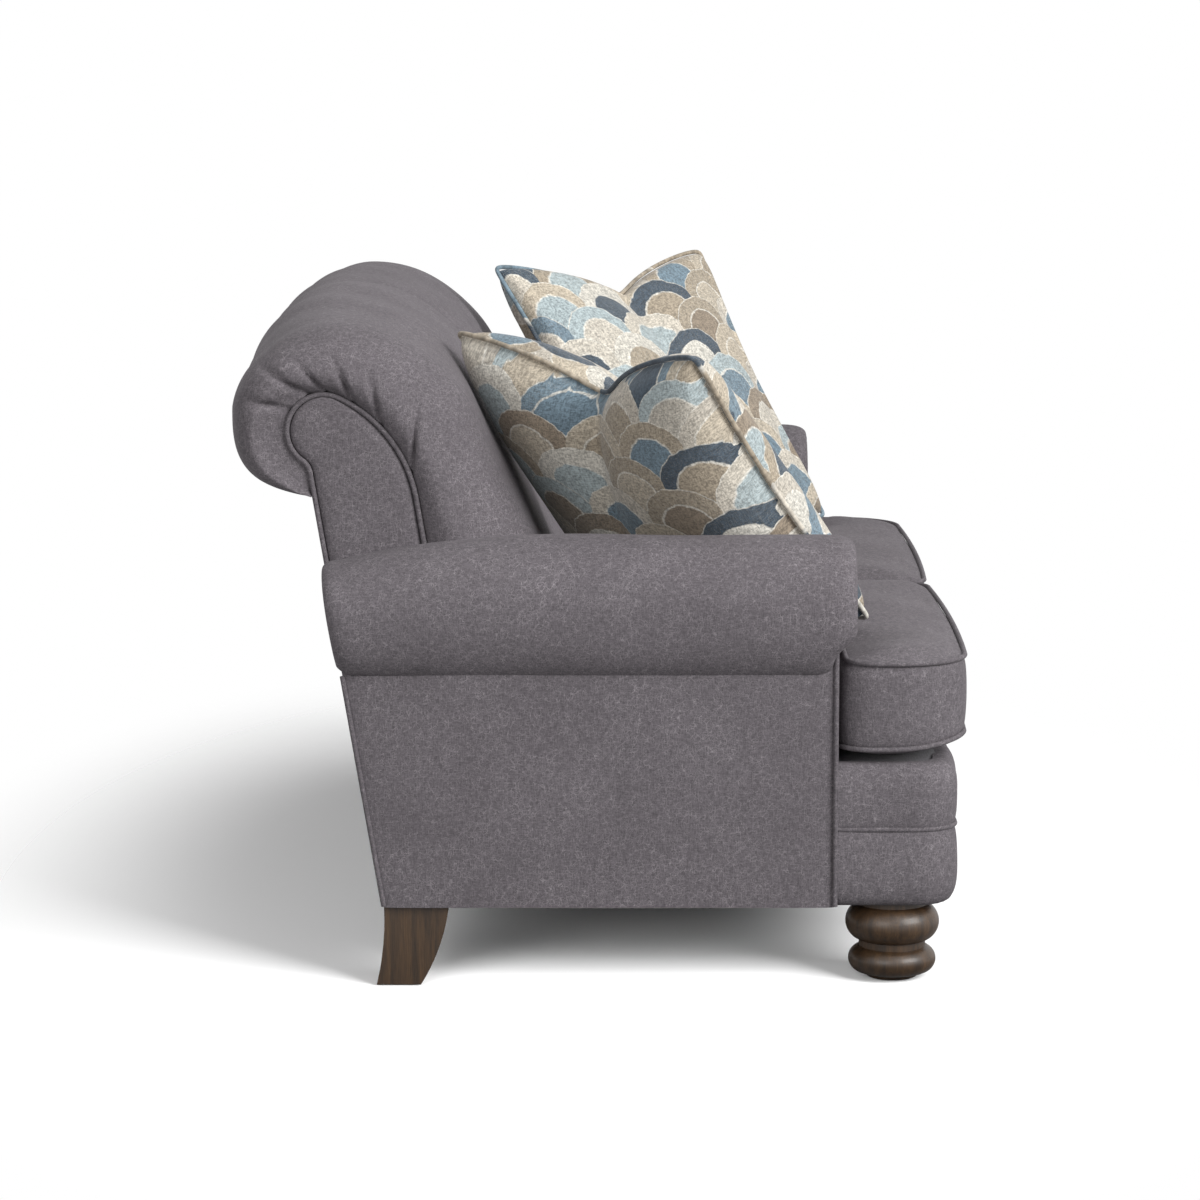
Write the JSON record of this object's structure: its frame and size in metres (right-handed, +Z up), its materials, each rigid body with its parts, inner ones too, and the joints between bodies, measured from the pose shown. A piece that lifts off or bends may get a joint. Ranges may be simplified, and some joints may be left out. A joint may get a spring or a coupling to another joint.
{
  "type": "loveseat",
  "caption": "Rolled-arm loveseat with T-shaped seat cushions, a tight gathered back, welted borders, bun feet in front, swept legs behind, and patterned throw pillows.",
  "frame": {"origin": "on the floor, at the middle of the whole outline in plan", "axes": "+X along the seat's width to the right of a viewer in front, front faces -Y, +Z up"},
  "size_m": [1.6536, 1.046, 0.945],
  "materials": {
    "upholstery": "heathered woven wool-look fabric, matte",
    "upholstery_welt": "self-welt cord in the same fabric",
    "cushion_foam": "polyurethane foam in a fibre wrap",
    "deck_felt": "felted pad under deck cloth",
    "dust_cloth": "black non-woven cambric",
    "pillow_fabric": "printed linen weave in cream, taupe, pale blue and navy",
    "pillow_filling": "feather and fibre filling",
    "frame_wood": "bare hardwood",
    "stained_wood": "dark walnut stain, satin lacquer",
    "spring_steel": "spring wire",
    "bolt_steel": "zinc plated",
    "glide_plastic": "nail-on glide"
  },
  "bodies": {
    "frame": {"back_springs": "spring_steel", "back_top_rail": "frame_wood", "center_back_post": "frame_wood", "center_rail": "frame_wood", "corner_blocks": "frame_wood", "deck_pad": "deck_felt", "dust_cover": "dust_cloth", "front_border": "upholstery", "front_border_welt": "upholstery_welt", "front_rail": "frame_wood", "left_arm_board": "frame_wood", "left_arm_front_panel": "upholstery", "left_arm_front_welt": "upholstery_welt", "left_arm_pad": "upholstery", "left_arm_posts": "frame_wood", "left_back_end_panel": "upholstery", "left_back_end_welt": "upholstery_welt", "left_back_pad": "upholstery", "left_back_post": "frame_wood", "left_bun_foot": "stained_wood", "left_outer_arm_panel": "upholstery", "left_rear_leg": "stained_wood", "left_side_rail": "frame_wood", "leg_bolts": "bolt_steel", "leg_glides": "glide_plastic", "leg_inserts": "bolt_steel", "lower_back_rail": "frame_wood", "outside_back_panel": "upholstery", "outside_back_welts": "upholstery_welt", "rear_rail": "frame_wood", "right_arm_board": "frame_wood", "right_arm_front_panel": "upholstery", "right_arm_front_welt": "upholstery_welt", "right_arm_pad": "upholstery", "right_arm_posts": "frame_wood", "right_back_end_panel": "upholstery", "right_back_end_welt": "upholstery_welt", "right_back_pad": "upholstery", "right_back_post": "frame_wood", "right_bun_foot": "stained_wood", "right_outer_arm_panel": "upholstery", "right_rear_leg": "stained_wood", "right_side_rail": "frame_wood", "seat_back_rail": "frame_wood", "seat_spring_ties": "spring_steel", "seat_springs": "spring_steel", "spring_clips": "spring_steel", "upper_back_rail": "frame_wood"},
    "left_seat_cushion": {"left_cushion_core": "cushion_foam", "left_cushion_cover": "upholstery", "left_cushion_welts": "upholstery_welt"},
    "left_throw_pillow": {"left_pillow_fill": "pillow_filling", "left_pillow_cover": "pillow_fabric", "left_pillow_welt": "pillow_fabric"},
    "right_seat_cushion": {"right_cushion_core": "cushion_foam", "right_cushion_cover": "upholstery", "right_cushion_welts": "upholstery_welt"},
    "right_throw_pillow": {"right_pillow_fill": "pillow_filling", "right_pillow_cover": "pillow_fabric", "right_pillow_welt": "pillow_fabric"}
  },
  "joints": [
    {"name": "left_cushion_lift", "type": "slide", "parent": "frame", "child": "left_seat_cushion", "axis": [0, 0, 1], "range_m": [0, 0.36]},
    {"name": "left_pillow_lift", "type": "slide", "parent": "left_seat_cushion", "child": "left_throw_pillow", "axis": [0, 0, 1], "range_m": [0, 0.45]},
    {"name": "right_cushion_lift", "type": "slide", "parent": "frame", "child": "right_seat_cushion", "axis": [0, 0, 1], "range_m": [0, 0.36]},
    {"name": "right_pillow_lift", "type": "slide", "parent": "right_seat_cushion", "child": "right_throw_pillow", "axis": [0, 0, 1], "range_m": [0, 0.45]}
  ]
}
